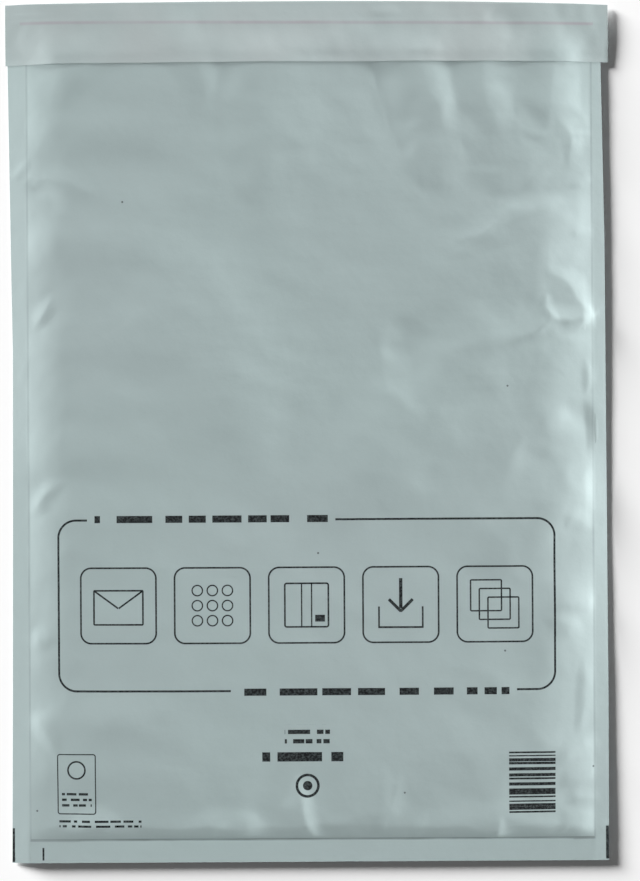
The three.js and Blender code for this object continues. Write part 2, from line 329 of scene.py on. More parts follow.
class EnvelopeShape(bpy.types.PropertyGroup):
    """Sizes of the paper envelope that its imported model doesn't give."""

    bottom_margin: bpy.props.FloatProperty(
        name="Bottom margin",
        description="Width of the glued margin along the bottom",
        default=0.012,
        unit="LENGTH",
    )
    seam_height: bpy.props.FloatProperty(
        name="Seam height",
        description="Height of the upper side of the glued margins, where they join the body",
        default=0.0036,
        unit="LENGTH",
    )
    body_height: bpy.props.FloatProperty(
        name="Body height",
        description="Height of the padded body between its margins",
        default=0.0106,
        unit="LENGTH",
    )
    mouth_height: bpy.props.FloatProperty(
        name="Mouth height",
        description="Height of the body at its mouth, under the flap",
        default=0.0066,
        unit="LENGTH",
    )
    left_shoulder: bpy.props.FloatProperty(
        name="Left shoulder",
        description="Width of the steep first rise of the body from its left margin",
        default=0.0225,
        unit="LENGTH",
    )
    right_shoulder: bpy.props.FloatProperty(
        name="Right shoulder",
        description="Width of the steep first rise of the body from its right margin",
        default=0.030,
        unit="LENGTH",
    )
    bottom_shoulder: bpy.props.FloatProperty(
        name="Bottom shoulder",
        description="Width of the steep first rise of the body from its bottom margin",
        default=0.0075,
        unit="LENGTH",
    )
    paper_thickness: bpy.props.FloatProperty(
        name="Paper thickness",
        description="Thickness of the paper sheets",
        default=0.00015,
        unit="LENGTH",
    )
    flap_gap: bpy.props.FloatProperty(
        name="Flap gap",
        description="Distance between the flap's free edge and the front sheet",
        default=0.00015,
        unit="LENGTH",
    )
    ripple: bpy.props.FloatProperty(
        name="Ripple",
        description="Height of the random waves in the paper",
        default=0.00016,
        unit="LENGTH",
    )


class EnvelopePadding(bpy.types.PropertyGroup):
    """Sizes of the bubble film."""

    bubble_width: bpy.props.FloatProperty(
        name="Bubble width",
        description="Diameter of one bubble of the film",
        default=0.0088,
        unit="LENGTH",
    )
    bubble_pitch: bpy.props.FloatProperty(
        name="Bubble pitch",
        description="Distance between the middles of two bubbles in a row",
        default=0.0105,
        unit="LENGTH",
    )
    bubble_height: bpy.props.FloatProperty(
        name="Bubble height",
        description="How far a bubble stands out from its film",
        default=0.0024,
        unit="LENGTH",
    )
    fill: bpy.props.FloatProperty(
        name="Fill",
        description="How full the bubbles are, from slack to tight",
        default=0.6,
        min=0.0,
        max=1.0,
        subtype="FACTOR",
    )


class EnvelopeColours(bpy.types.PropertyGroup):
    """Colours of the paper, print, film and strips, as linear values."""

    paper: bpy.props.FloatVectorProperty(
        name="Paper",
        description="Colour of the outer paper",
        default=(0.300, 0.374, 0.372),
        subtype="COLOR",
    )
    paper_drift: bpy.props.FloatVectorProperty(
        name="Paper drift",
        description="Colour that the outer paper drifts towards in broad patches",
        default=(0.308, 0.369, 0.373),
        subtype="COLOR",
    )
    ink: bpy.props.FloatVectorProperty(
        name="Ink",
        description="Colour of the print",
        default=(0.006, 0.007, 0.008),
        subtype="COLOR",
    )
    flap_paper: bpy.props.FloatVectorProperty(
        name="Flap paper",
        description="Colour of the flap, through which the pink liner shows faintly",
        default=(0.318, 0.368, 0.367),
        subtype="COLOR",
    )
    show_through: bpy.props.FloatVectorProperty(
        name="Show-through",
        description="Colour of the flap over the liner's edge",
        default=(0.309, 0.307, 0.325),
        subtype="COLOR",
    )
    liner: bpy.props.FloatVectorProperty(
        name="Liner",
        description="Colour of the release liner under the flap",
        default=(0.69, 0.49, 0.57),
        subtype="COLOR",
    )
    adhesive: bpy.props.FloatVectorProperty(
        name="Adhesive",
        description="Colour of the adhesive strip",
        default=(0.81, 0.77, 0.62),
        subtype="COLOR",
    )
    film: bpy.props.FloatVectorProperty(
        name="Film",
        description="Colour of the bubble film",
        default=(0.74, 0.79, 0.80),
        subtype="COLOR",
    )


class EnvelopeStage(bpy.types.PropertyGroup):
    """Floor, lamps and camera."""

    floor_colour: bpy.props.FloatVectorProperty(
        name="Floor",
        description="Colour of the floor",
        default=(0.93, 0.93, 0.93),
        subtype="COLOR",
    )
    left_share: bpy.props.FloatProperty(
        name="Left lamp",
        description="Share of the light on the floor that comes from the left",
        default=0.345,
        subtype="FACTOR",
    )
    right_share: bpy.props.FloatProperty(
        name="Right lamp",
        description="Share of the light on the floor that comes from the right",
        default=0.40,
        subtype="FACTOR",
    )
    top_share: bpy.props.FloatProperty(
        name="Top lamp",
        description="Share of the light on the floor that comes from beyond the flap",
        default=0.25,
        subtype="FACTOR",
    )
    near_share: bpy.props.FloatProperty(
        name="Near lamp",
        description="Share of the light on the floor that comes from the side of the bottom margin",
        default=0.02,
        subtype="FACTOR",
    )
    camera_height: bpy.props.FloatProperty(
        name="Camera height",
        description="Height of the camera above the floor",
        default=1.4,
        unit="LENGTH",
    )
    picture_height: bpy.props.FloatProperty(
        name="Picture height",
        description="Length of the floor that the picture shows, from top to bottom",
        default=0.4715,
        unit="LENGTH",
    )
    picture_middle: bpy.props.FloatVectorProperty(
        name="Picture middle",
        description="Point of the floor in the middle of the picture",
        default=(0.0061, -0.0047),
        size=2,
        subtype="XYZ",
        unit="LENGTH",
    )
    camera_roll: bpy.props.FloatProperty(
        name="Camera roll",
        description="Turn of the camera about its line of sight",
        default=math.radians(-0.33),
        subtype="ANGLE",
    )


def measures():
    """The envelope's main places in millimetres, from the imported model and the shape's properties."""
    shape = bpy.context.scene.envelope_shape
    front_low, front_high = (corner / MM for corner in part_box("front_panel"))
    _, back_high = (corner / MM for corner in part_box("back_panel"))
    lining_low, lining_high = (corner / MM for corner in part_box("front_bubble_lining"))
    shoulders = shape.left_shoulder, shape.right_shoulder, shape.bottom_shoulder
    return SimpleNamespace(
        bottom_edge=front_low.y,
        bottom_seam=front_low.y + shape.bottom_margin / MM,
        mouth=front_high.y,
        fold_line=back_high.y,
        flap_edge=back_high.y - FLAP_DEPTH,
        body_half=front_high.x,
        flap_half=back_high.x,
        lining_low=lining_low,
        lining_high=lining_high,
        seam_height=shape.seam_height / MM,
        body_height=shape.body_height / MM,
        mouth_height=shape.mouth_height / MM,
        shoulders=tuple(width / MM for width in shoulders),
        paper=shape.paper_thickness / MM,
        flap_gap=shape.flap_gap / MM,
        ripple=shape.ripple / MM,
    )


# Shapes of surfaces, in millimetres


def smoothstep(value, start, end):
    """0 up to the start and 1 from the end on, with a smooth rise between."""
    share = np.clip((value - start) / (end - start), 0, 1)
    return share * share * (3 - 2 * share)


def swell(distance, shoulder, fullness):
    """0 at the start of a shoulder and 1 past its end."""
    share = np.clip(distance / shoulder, 0, 1)
    return 1 - (1 - share) ** fullness


def two_swells(distance, shoulder, steep, longer=4):
    """A steep swell over a shoulder and a gentle one that is several times longer, as one."""
    first = swell(distance, shoulder, STEEP_FULLNESS)
    later = swell(distance, longer * shoulder, GENTLE_FULLNESS)
    return steep * first + (1 - steep) * later


def outline_at(points, y):
    """The value at y of a list of places and values, such as an edge of the outline."""
    places, values = zip(*points)
    return np.interp(y, places, values)


def plane_waves(x, y, wavelength, seed):
    """Smooth random waves, mostly between -1 and 1, made of plane waves in random directions."""
    dice = np.random.default_rng(seed)
    count = 14
    total = np.zeros(np.broadcast(x, y).shape)
    for _ in range(count):
        heading = dice.uniform(0, 2 * math.pi)
        number = 2 * math.pi / (wavelength * dice.uniform(0.7, 1.7))
        phase = dice.uniform(0, 2 * math.pi)
        total += np.cos(number * (x * math.cos(heading) + y * math.sin(heading)) + phase)
    return total * math.sqrt(2 / count) * 0.5


def ripples(waves, x, y):
    """Random waves of several lengths on top of each other."""
    return sum(height * plane_waves(x, y, length, seed) for height, length, seed in waves)


def rounded(path):
    """The points of a path with its corners cut twice."""
    path = np.array(path, float)
    for _ in range(2):
        near = path[:-1] * 0.75 + path[1:] * 0.25
        far = path[:-1] * 0.25 + path[1:] * 0.75
        between = np.stack([near, far], axis=1).reshape(-1, 2)
        path = np.concatenate([path[:1], between[1:-1], path[-1:]])
    return path


def fold_height(fold, x, y):
    """Height of one fold at each point. Its width tapers where the fold fades."""
    path = rounded(fold.path)
    reach = max(fold.left, fold.right)
    low, high = path.min(axis=0) - reach, path.max(axis=0) + reach
    close = (x > low[0]) & (x < high[0]) & (y > low[1]) & (y < high[1])
    height = np.zeros(x.shape)
    x, y = x[close], y[close]
    runs = np.diff(path, axis=0)
    lengths = np.hypot(runs[:, 0], runs[:, 1])
    starts = np.concatenate([[0], np.cumsum(lengths)])
    nearest = np.full(x.shape, np.inf)
    side = np.zeros(x.shape)
    way = np.zeros(x.shape)
    for start, run, length, before in zip(path[:-1], runs, lengths, starts):
        dx, dy = x - start[0], y - start[1]
        along = np.clip((dx * run[0] + dy * run[1]) / length**2, 0, 1)
        apart = np.hypot(dx - along * run[0], dy - along * run[1])
        closer = apart < nearest
        nearest = np.where(closer, apart, nearest)
        side = np.where(closer, (run[0] * dy - run[1] * dx) / length, side)
        way = np.where(closer, (before + along * length) / starts[-1], way)
    fade = smoothstep(way, -0.01, fold.fade_in + 0.001) * smoothstep(1 - way, -0.01, fold.fade_out + 0.001)
    leaning = smoothstep(side / (nearest + 1), -1, 1)
    width = (fold.right + (fold.left - fold.right) * leaning) * (0.4 + 0.6 * fade)
    share = np.clip(nearest / width, 0, 1)
    soft = (1 - share**2) ** 2
    crisp = (1 - share) ** 2
    height[close] = fold.rise * (soft + (crisp - soft) * fold.crispness) * fade
    return height


def bump_height(bump, x, y):
    """Height of one swelling or dent at each point."""
    turn = math.radians(bump.turn)
    dx, dy = x - bump.centre[0], y - bump.centre[1]
    along = (dx * math.cos(turn) + dy * math.sin(turn)) / bump.half_size[0]
    aside = (dy * math.cos(turn) - dx * math.sin(turn)) / bump.half_size[1]
    inside = np.clip(1 - along**2 - aside**2, 0, 1)
    return bump.rise * inside**2


def relief(folds, bumps, x, y):
    """Height of all the folds and bumps of one sheet."""
    heights = [fold_height(fold, x, y) for fold in folds]
    heights += [bump_height(bump, x, y) for bump in bumps]
    return sum(heights)


def body_swell(size, x, y, shoulders):
    """How far the padded body has risen from its glued margins, from 0 to 1."""
    left, right, bottom = shoulders
    left = left * (1 + ripples(LEFT_WAVER, 0 * x, y))
    right = right * (1 + ripples(RIGHT_WAVER, 0 * x, y))
    bottom = bottom * (1 + ripples(BOTTOM_WAVER, x, 0 * y))
    from_left = two_swells(x - outline_at(LEFT_SEAM, y), left, outline_at(LEFT_STEEP, y))
    from_right = two_swells(outline_at(RIGHT_SEAM, y) - x, right, outline_at(RIGHT_STEEP, y))
    from_bottom = two_swells(y - size.bottom_seam, bottom, BOTTOM_STEEP, BOTTOM_LONGER)
    return from_left * from_right * from_bottom


def body_level(size, x, y):
    """Height of the middle of the body, which falls towards the mouth."""
    fall = smoothstep(y, size.mouth - 26, size.mouth + 4)
    domed = np.clip((1 - (x / size.body_half) ** 2) * (1 - (y / size.fold_line) ** 2), 0, 1)
    return size.body_height + (size.mouth_height - size.body_height) * fall + CROWN * domed


def front_height(size, x, y):
    """Upper side of the front sheet. Its folds fade towards the seams and under the flap."""
    risen = body_swell(size, x, y, size.shoulders)
    plain = size.seam_height + (body_level(size, x, y) - size.seam_height) * risen
    waves = ripples(FRONT_WAVES, x, y)
    above_bottom = smoothstep(y, size.bottom_seam, size.bottom_seam + 6)
    loose = np.minimum(1, swell(risen, 0.4, 1.5) + 0.05 + 0.25 * above_bottom)
    covered = smoothstep(y, size.flap_edge + 2, size.flap_edge + 14)
    across = x + ripples(STRAY_ACROSS, x, y) * loose
    along = y + ripples(STRAY_ALONG, x, y) * loose
    folded = relief(FRONT_FOLDS, FRONT_BUMPS, across, along) * (1 - covered)
    under_flap = smoothstep(y, size.flap_edge + 5, size.flap_edge + 16)
    lowered = UNDER_FLAP_DIP * under_flap * smoothstep(risen, 0, 0.6)
    return plain + (folded + size.ripple * waves) * loose - lowered - margin_droop(x, y)


def margin_droop(x, y):
    """How far the glued margins hang down towards their outer edges."""
    left_seam, left_edge = outline_at(LEFT_SEAM, y), outline_at(LEFT_EDGE, y)
    right_seam, right_edge = outline_at(RIGHT_SEAM, y), outline_at(RIGHT_EDGE, y)
    on_left = np.clip((left_seam - x) / (left_seam - left_edge), 0, 1.4)
    on_right = np.clip((x - right_seam) / (right_edge - right_seam), 0, 1.4)
    return on_left * outline_at(LEFT_DROOP, y) + on_right * outline_at(RIGHT_DROOP, y)


def back_height(size, x, y):
    """Underside of the rear sheet, which rests on the floor inside the margins."""
    risen = body_swell(size, x, y, REAR_SHOULDERS)
    seam = size.seam_height - 2 * size.paper - 0.05
    waves = ripples(BACK_WAVES, x, y)
    near_mouth = smoothstep(y, size.mouth - 22, size.fold_line)
    lifted = MOUTH_LIFT * near_mouth * smoothstep(risen, 0, 0.8)
    folded = relief(BACK_FOLDS, [], x, y) * smoothstep(risen, 0.2, 1)
    edge = seam * (1 - risen) - margin_droop(x, y)
    return np.maximum(edge + folded + lifted + size.ripple * (1 + waves) * risen, 0)


def flap_height(size, x, y):
    """Underside of the flap: it lies on the front sheet at its free edge and falls to the fold."""
    at_edge = np.full_like(y, size.flap_edge)
    count = len(FLAP_SMOOTHING)
    risen = sum(body_swell(size, x + aside, at_edge, size.shoulders) for aside in FLAP_SMOOTHING) / count
    droop = sum(margin_droop(x + aside, at_edge) for aside in FLAP_SMOOTHING) / count
    beside = size.seam_height + (body_level(size, x, at_edge) - size.seam_height) * risen - droop
    down = np.clip((y - size.flap_edge) / (size.fold_line - size.flap_edge), -0.1, 1)
    pressed = smoothstep(y, size.flap_edge, size.flap_edge + 20)
    beneath = [front_height(size, x + aside, at_edge) - BRIDGE_SLOPE * abs(aside) for aside in FLAP_BRIDGING]
    bridged = np.log(sum(np.exp(BRIDGE_SHARPNESS * height) for height in beneath)) / BRIDGE_SHARPNESS
    over_body = smoothstep(size.body_half - np.abs(x), 10, 34)
    resting = front_height(size, x, at_edge)
    resting = resting + (bridged - resting) * over_body
    plain = resting + (beside - resting) * pressed
    fall = (body_level(size, x, size.flap_edge) - size.mouth_height) * risen * down
    bent = relief(FLAP_FOLDS, [], x, y) + size.ripple * ripples(FLAP_WAVES, x, y)
    lifted = FLAP_LIFT * smoothstep(y, size.flap_edge, size.flap_edge + 7)
    free = smoothstep(y, size.flap_edge - 4, size.flap_edge + 6)
    return plain - fall + size.flap_gap + (bent + lifted) * free


# Meshes


def lines(*stops):
    """Grid lines through the stops. Each stop after the first is a place and the spacing up to it."""
    places = [np.array([stops[0]])]
    start = stops[0]
    for end, spacing in stops[1:]:
        count = max(1, round(abs(end - start) / spacing))
        places.append(np.linspace(start, end, count + 1)[1:])
        start = end
    return np.concatenate(places)


def grid_quads(rows, columns, start=0, flipped=False):
    """The quads of a grid whose points are numbered row by row."""
    index = np.arange(rows * columns).reshape(rows, columns) + start
    corners = index[:-1, :-1], index[:-1, 1:], index[1:, 1:], index[1:, :-1]
    quads = np.stack(corners, axis=-1).reshape(-1, 4)
    return quads[:, ::-1] if flipped else quads


def grid_border(rows, columns, start=0):
    """The point numbers round the outside of a grid, anticlockwise seen from above."""
    index = np.arange(rows * columns).reshape(rows, columns) + start
    return np.concatenate([index[0, :-1], index[:-1, -1], index[-1, :0:-1], index[:0:-1, 0]])


def thinned(count, dense, step):
    """Numbers of grid lines, of which all are kept near both ends and one in every step between."""
    sparse = np.arange(dense, count - dense, step)
    return np.concatenate([np.arange(dense), sparse, np.arange(count - dense, count)])


def strip_quads(upper, lower):
    """Quads between two closed loops of point numbers."""
    return np.stack([upper, lower, np.roll(lower, -1), np.roll(upper, -1)], axis=-1)


def stacked(x, y, z):
    """Points of a grid in one list, row by row."""
    x, y, z = np.broadcast_arrays(x, y, z)
    return np.stack([x.ravel(), y.ravel(), z.ravel()], axis=-1)


def mesh_piece(name, points, quads, material):
    """A smooth mesh object from points in millimetres, which rides on the envelope's one body."""
    mesh = bpy.data.meshes.new(name)
    mesh.vertices.add(len(points))
    mesh.vertices.foreach_set("co", (points * MM).astype(np.float32).ravel())
    mesh.loops.add(quads.size)
    mesh.loops.foreach_set("vertex_index", quads.astype(np.int32).ravel())
    mesh.polygons.add(len(quads))
    mesh.polygons.foreach_set("loop_start", np.arange(0, quads.size, 4, dtype=np.int32))
    mesh.update(calc_edges=True)
    if mesh.validate():
        raise RuntimeError(f"{name} had faulty faces")
    mesh.polygons.foreach_set("use_smooth", np.ones(len(quads), bool))
    mesh.set_sharp_from_angle(angle=math.radians(SHARP_ANGLE))
    mesh.materials.append(material)
    piece = bpy.data.objects.new(name, mesh)
    bpy.context.scene.collection.objects.link(piece)
    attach(piece, BODY)
    return piece


def sheet_mesh(name, upper, lower, material):
    """A closed sheet: two grids of points, each given as x, y and z, and a rim between them."""
    rows, columns = np.broadcast(*upper).shape
    count = rows * columns
    points = np.concatenate([stacked(*upper), stacked(*lower)])
    quads = np.concatenate(
        [
            grid_quads(rows, columns),
            grid_quads(rows, columns, count, flipped=True),
            strip_quads(grid_border(rows, columns), grid_border(rows, columns, count)),
        ]
    )
    return mesh_piece(name, points, quads, material)


# Shader node groups


def new_group(name, inputs, outputs):
    """An empty shader node group with named sockets. Each input is a name, a kind and a default."""
    group = bpy.data.node_groups.new(name, "ShaderNodeTree")
    for label, kind, default in inputs:
        socket = group.interface.new_socket(label, in_out="INPUT", socket_type=f"NodeSocket{kind}")
        if default is not None:
            socket.default_value = default
    for label, kind in outputs:
        group.interface.new_socket(label, in_out="OUTPUT", socket_type=f"NodeSocket{kind}")
    entry = group.nodes.new("NodeGroupInput")
    end = group.nodes.new("NodeGroupOutput")
    return group, entry, end


def add_node(tree, kind, links=None, **settings):
    """A node with its settings, whose inputs take either a socket or a plain value."""
    node = tree.nodes.new(f"ShaderNode{kind}")
    for key, value in settings.items():
        setattr(node, key, value)
    for key, value in (links or {}).items():
        if isinstance(value, bpy.types.NodeSocket):
            tree.links.new(value, node.inputs[key])
        else:
            node.inputs[key].default_value = value
    return node


def maths(tree, operation, first, second=0.0, third=None):
    """The output of a Math node."""
    links = {0: first, 1: second}
    if third is not None:
        links[2] = third
    return add_node(tree, "Math", links, operation=operation).outputs[0]


def vector_maths(tree, operation, first, second=None):
    """The vector that a Vector Math node puts out."""
    links = {0: first} if second is None else {0: first, 1: second}
    return add_node(tree, "VectorMath", links, operation=operation).outputs[0]


def mixed(tree, share, first, second):
    """The output of a Mix node for colours."""
    return add_node(tree, "Mix", {0: share, 6: first, 7: second}, data_type="RGBA").outputs[2]


def noise(tree, place, scale, detail=2.0, roughness=0.5):
    """The value of a Noise texture at a place."""
    links = {"Vector": place, "Scale": scale, "Detail": detail, "Roughness": roughness}
    return add_node(tree, "TexNoise", links).outputs["Fac"]


def noise_along(tree, distance):
    """The value of a Noise texture that changes along one line."""
    links = {"W": distance, "Scale": 1.0, "Detail": 0.0}
    return add_node(tree, "TexNoise", links, noise_dimensions="1D").outputs["Fac"]


def clamped(tree, operation, first, second, third=None):
    """The output of a Math node, kept between 0 and 1."""
    output = maths(tree, operation, first, second, third)
    output.node.use_clamp = True
    return output


def seen_directly(tree):
    """Mask of the rays that come from the camera, also by way of a shiny or a clear surface."""
    ray = add_node(tree, "LightPath").outputs
    seen = maths(tree, "MAXIMUM", ray["Is Camera Ray"], ray["Is Glossy Ray"])
    return maths(tree, "MAXIMUM", seen, ray["Is Transmission Ray"])


def object_place(tree):
    """The place on a piece, in metres of the frame."""
    return add_node(tree, "TexCoord").outputs["Object"]


def paper_tone_group():
    """Paper colour with broad drifts, soft mottling and fine fibres."""
    group, entry, end = new_group(
        "Paper tone",
        [
            ("Place", "Vector", None),
            ("Colour", "Color", (0.4, 0.4, 0.4, 1)),
            ("Drift colour", "Color", (0.4, 0.4, 0.4, 1)),
            ("Mottling", "Float", 0.04),
            ("Fibres", "Float", 0.04),
        ],
        [("Colour", "Color")],
    )
    place = entry.outputs["Place"]
    drift = noise(group, place, 7.0, 1.0)
    drifted = mixed(group, drift, entry.outputs["Colour"], entry.outputs["Drift colour"])
    cloud = maths(group, "SUBTRACT", noise(group, place, 90.0, 3.0), 0.5)
    fibre = maths(group, "SUBTRACT", noise(group, place, 1400.0, 2.0, 0.7), 0.5)
    shade = maths(group, "MULTIPLY_ADD", cloud, entry.outputs["Mottling"], 1.0)
    shade = maths(group, "MULTIPLY_ADD", fibre, entry.outputs["Fibres"], shade)
    toned = add_node(group, "VectorMath", {0: drifted}, operation="SCALE")
    group.links.new(shade, toned.inputs["Scale"])
    group.links.new(toned.outputs[0], end.inputs["Colour"])
    return group


def paper_relief_group():
    """Height of the paper's fibres and faint cockles, for a Bump node."""
    group, entry, end = new_group(
        "Paper relief",
        [("Place", "Vector", None), ("Fibres", "Float", 1.0), ("Cockles", "Float", 1.0)],
        [("Height", "Float")],
    )
    place = entry.outputs["Place"]
    fibres = maths(group, "MULTIPLY", noise(group, place, 1100.0, 3.0, 0.65), entry.outputs["Fibres"])
    cockles = maths(group, "MULTIPLY", noise(group, place, 130.0, 3.0, 0.6), entry.outputs["Cockles"])
    total = maths(group, "MULTIPLY_ADD", cockles, 8.0, fibres)
    group.links.new(total, end.inputs["Height"])
    return group


def box_mask_group():
    """Mask of one box: 1 where there is ink, and where the seams get painted shade. All lengths are
    millimetres.
    """
    group, entry, end = new_group(
        "Box mask",
        [
            ("Place", "Vector", None),
            ("Centre", "Vector", (0, 0, 0)),
            ("Half size", "Vector", (1, 1, 0)),
            ("Corner", "Float", 0.0),
            ("Line", "Float", 1.0),
            ("Turn", "Float", 0.0),
        ],
        [("Mask", "Float")],
    )
    given = entry.outputs
    turned = add_node(
        group,
        "VectorRotate",
        {"Vector": given["Place"], "Center": given["Centre"], "Angle": given["Turn"]},
        rotation_type="Z_AXIS",
        invert=True,
    ).outputs[0]
    moved = vector_maths(group, "SUBTRACT", turned, given["Centre"])
    folded = vector_maths(group, "ABSOLUTE", moved)
    outside = vector_maths(group, "SUBTRACT", folded, given["Half size"])
    corner = given["Corner"]
    apart = add_node(group, "SeparateXYZ", {0: outside}).outputs
    apart_x = maths(group, "ADD", apart["X"], corner)
    apart_y = maths(group, "ADD", apart["Y"], corner)
    past_x = maths(group, "MAXIMUM", apart_x, 0.0)
    past_y = maths(group, "MAXIMUM", apart_y, 0.0)
    squares = maths(group, "MULTIPLY_ADD", past_x, past_x, maths(group, "MULTIPLY", past_y, past_y))
    past = maths(group, "SQRT", squares)
    within = maths(group, "MINIMUM", maths(group, "MAXIMUM", apart_x, apart_y), 0.0)
    distance = maths(group, "SUBTRACT", maths(group, "ADD", past, within), corner)
    half_line = maths(group, "MULTIPLY", given["Line"], 0.5)
    from_line = maths(group, "ABSOLUTE", maths(group, "ADD", distance, half_line))
    beyond = maths(group, "SUBTRACT", from_line, half_line)
    group.links.new(clamped(group, "MULTIPLY_ADD", beyond, -8.0, 0.5), end.inputs["Mask"])
    return group


def box_mask(tree, place, mark):
    """Mask of one mark."""
    links = {
        "Place": place,
        "Centre": (*mark.centre, 0),
        "Half size": (*mark.half_size, 0),
        "Corner": mark.corner,
        "Line": mark.line,
        "Turn": math.radians(mark.turn),
    }
    return add_node(tree, "Group", links, node_tree=shared_group("Box mask")).outputs["Mask"]


def together(tree, masks):
    """Several masks as one."""
    total = masks[0]
    for mask in masks[1:]:
        total = maths(tree, "MAXIMUM", total, mask)
    return total


def wrapped(tree, value, middle, pitch):
    """A coordinate that runs from half a pitch below the middle to half above it, again and again."""
    return maths(tree, "WRAP", value, middle + pitch / 2, middle - pitch / 2)


def word_mask(tree, place, x, y, rows, seed):
    """Mask of rows of bars whose lengths are random."""
    inside = box_mask(tree, place, Mark(rows.centre, rows.half_size, 0, SOLID))
    row_y = maths(tree, "SUBTRACT", y, rows.centre[1] - rows.half_size[1])
    number = maths(tree, "FLOOR", maths(tree, "DIVIDE", row_y, rows.row))
    within = maths(tree, "SUBTRACT", row_y, maths(tree, "MULTIPLY", number, rows.row))
    on_bar = maths(tree, "LESS_THAN", within, rows.bar)
    along = maths(tree, "MULTIPLY_ADD", number, WORD_ROW_STEP, seed * WORD_BLOCK_STEP)
    along = maths(tree, "MULTIPLY_ADD", x, rows.words / 10, along)
    word = maths(tree, "GREATER_THAN", noise_along(tree, along), WORD_LEVEL)
    return maths(tree, "MULTIPLY", maths(tree, "MULTIPLY", inside, on_bar), word)


def line_print(tree, flat):
    """Mask of the whole front print, from a flat place in millimetres."""
    parts = add_node(tree, "SeparateXYZ", {0: flat}).outputs
    x, y = parts["X"], parts["Y"]
    gaps = together(tree, [box_mask(tree, flat, gap) for gap in FRAME_GAPS])
    border = maths(tree, "SUBTRACT", box_mask(tree, flat, FRAME_MARK), gaps)

    middle = FRAME_MARK.centre[0]
    cell_x = maths(tree, "SUBTRACT", wrapped(tree, x, middle, CELL_PITCH), middle)
    cell_place = add_node(tree, "CombineXYZ", {"X": cell_x, "Y": y}).outputs[0]
    in_cells = box_mask(tree, flat, Mark(FRAME_MARK.centre, (2.5 * CELL_PITCH, 24), 0, SOLID))
    cells = maths(tree, "MULTIPLY", box_mask(tree, cell_place, CELL_MARK), in_cells)

    sheet_middle = middle - CELL_PITCH
    bubble_x = maths(tree, "SUBTRACT", wrapped(tree, x, sheet_middle, BUBBLE_PITCH), sheet_middle)
    bubble_y = wrapped(tree, y, CELL_MARK.centre[1], BUBBLE_PITCH)
    bubble_place = add_node(tree, "CombineXYZ", {"X": bubble_x, "Y": bubble_y}).outputs[0]
    sheet = Mark((sheet_middle, CELL_MARK.centre[1]), (1.5 * BUBBLE_PITCH, 1.5 * BUBBLE_PITCH), 0, SOLID)
    bubbles = maths(tree, "MULTIPLY", box_mask(tree, bubble_place, BUBBLE_MARK), box_mask(tree, flat, sheet))

    across_stripes = maths(tree, "MULTIPLY", y, HATCH_SCALE)
    stripes = maths(tree, "GREATER_THAN", noise_along(tree, across_stripes), HATCH_LEVEL)
    hatch = maths(tree, "MULTIPLY", box_mask(tree, flat, HATCH_MARK), stripes)

    words = [word_mask(tree, flat, x, y, rows, seed) for seed, rows in enumerate(WORD_ROWS)]
    plain = [box_mask(tree, flat, mark) for mark in PLAIN_MARKS]
    return together(tree, [border, cells, bubbles, hatch, *words, *plain])


def speck_mask(tree, place):
    """Mask of a few dark flecks in the paper."""
    cells = add_node(tree, "TexVoronoi", {"Vector": place, "Scale": 20.0}, voronoi_dimensions="2D")
    near = maths(tree, "LESS_THAN", cells.outputs["Distance"], 0.011)
    tone = add_node(tree, "SeparateXYZ", {0: cells.outputs["Color"]}).outputs["X"]
    return maths(tree, "MULTIPLY", near, maths(tree, "LESS_THAN", tone, 0.14))


def new_material(name):
    """A material with its Principled shader."""
    material = bpy.data.materials.new(name)
    material.use_nodes = True
    return material, material.node_tree, material.node_tree.nodes["Principled BSDF"]


def paper_tone(tree, place, colour):
    """Places the paper colour group in a material."""
    colours = bpy.context.scene.envelope_colours
    drift = [a * c / b for a, b, c in zip(colours.paper_drift, colours.paper, colour)]
    links = {
        "Place": place,
        "Colour": (*colour, 1),
        "Drift colour": (*drift, 1),
        "Mottling": 0.05,
        "Fibres": 0.05,
    }
    return add_node(tree, "Group", links, node_tree=shared_group("Paper tone")).outputs["Colour"]


def bump_paper(tree, shader, place, fibres=1.0, cockles=1.0):
    """Presses the paper relief into a shader's normal."""
    links = {"Place": place, "Fibres": fibres, "Cockles": cockles}
    height = add_node(tree, "Group", links, node_tree=shared_group("Paper relief")).outputs["Height"]
    bump = add_node(tree, "Bump", {"Strength": 0.25, "Distance": 0.00006, "Height": height})
    tree.links.new(bump.outputs["Normal"], shader.inputs["Normal"])


def shared_group(name):
    """A node group that several materials use, made when it is first asked for."""
    makers = {
        "Paper tone": paper_tone_group,
        "Paper relief": paper_relief_group,
        "Box mask": box_mask_group,
    }
    return bpy.data.node_groups.get(name) or makers[name]()


def paper_finish(tree, shader, place):
    """The sheen and fine relief that all the outer paper has."""
    shader.inputs["Roughness"].default_value = 0.8
    shader.inputs["Specular IOR Level"].default_value = 0.35
    bump_paper(tree, shader, place)


